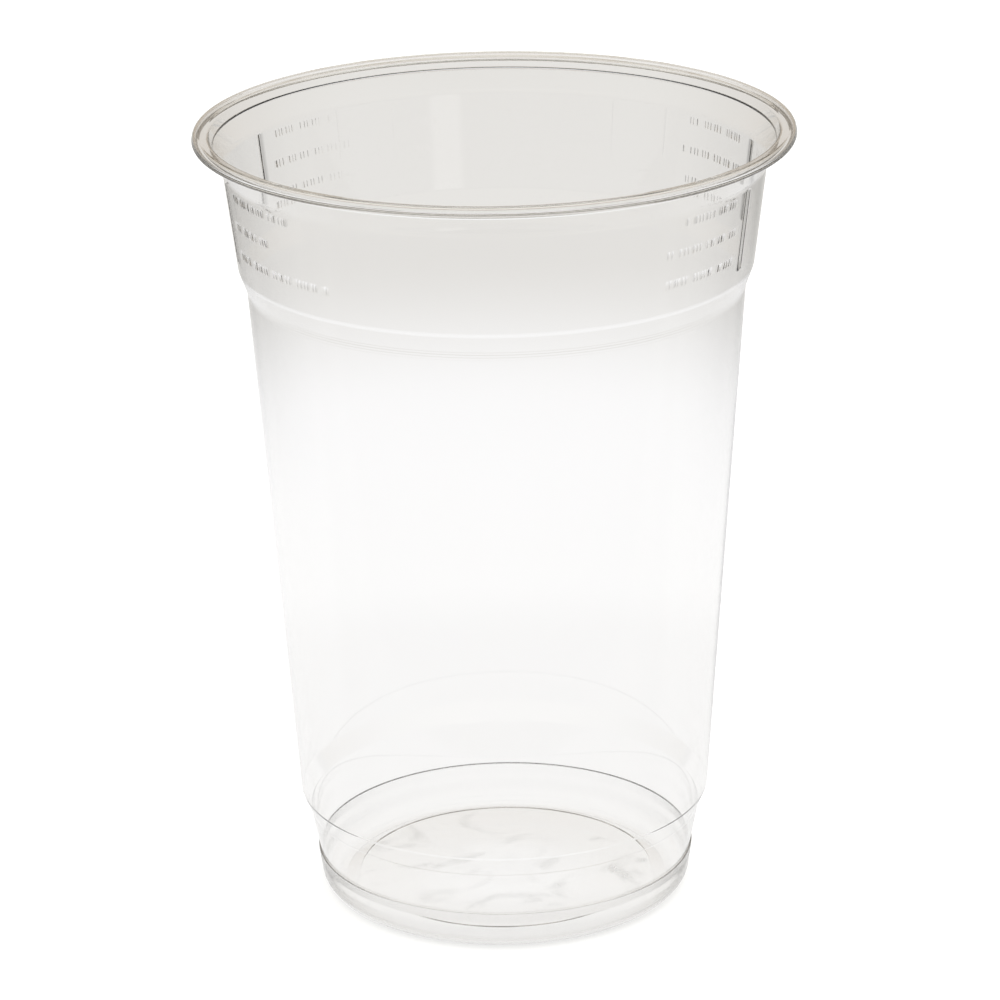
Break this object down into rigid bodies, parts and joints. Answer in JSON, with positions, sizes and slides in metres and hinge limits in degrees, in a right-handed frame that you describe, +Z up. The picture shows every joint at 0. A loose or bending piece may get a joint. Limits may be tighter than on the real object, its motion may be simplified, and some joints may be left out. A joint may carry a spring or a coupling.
{
  "type": "plastic disposable cup",
  "caption": "Clear one-piece cold drinks cup with rolled rim, tapered upper band, stacking shoulder, bottom ledge and raised floor.",
  "frame": {"origin": "centre of the foot ring, on the surface the cup stands on", "axes": "+Z up along the cup's axis, towards the open rim; the section is the same all round, so +X and +Y are free"},
  "size_m": [0.095, 0.095, 0.1286],
  "materials": {
    "clear_plastic": "clear glossy thin sheet, very slightly warm grey"
  },
  "bodies": {
    "root": {"cup": "clear_plastic"}
  },
  "joints": []
}
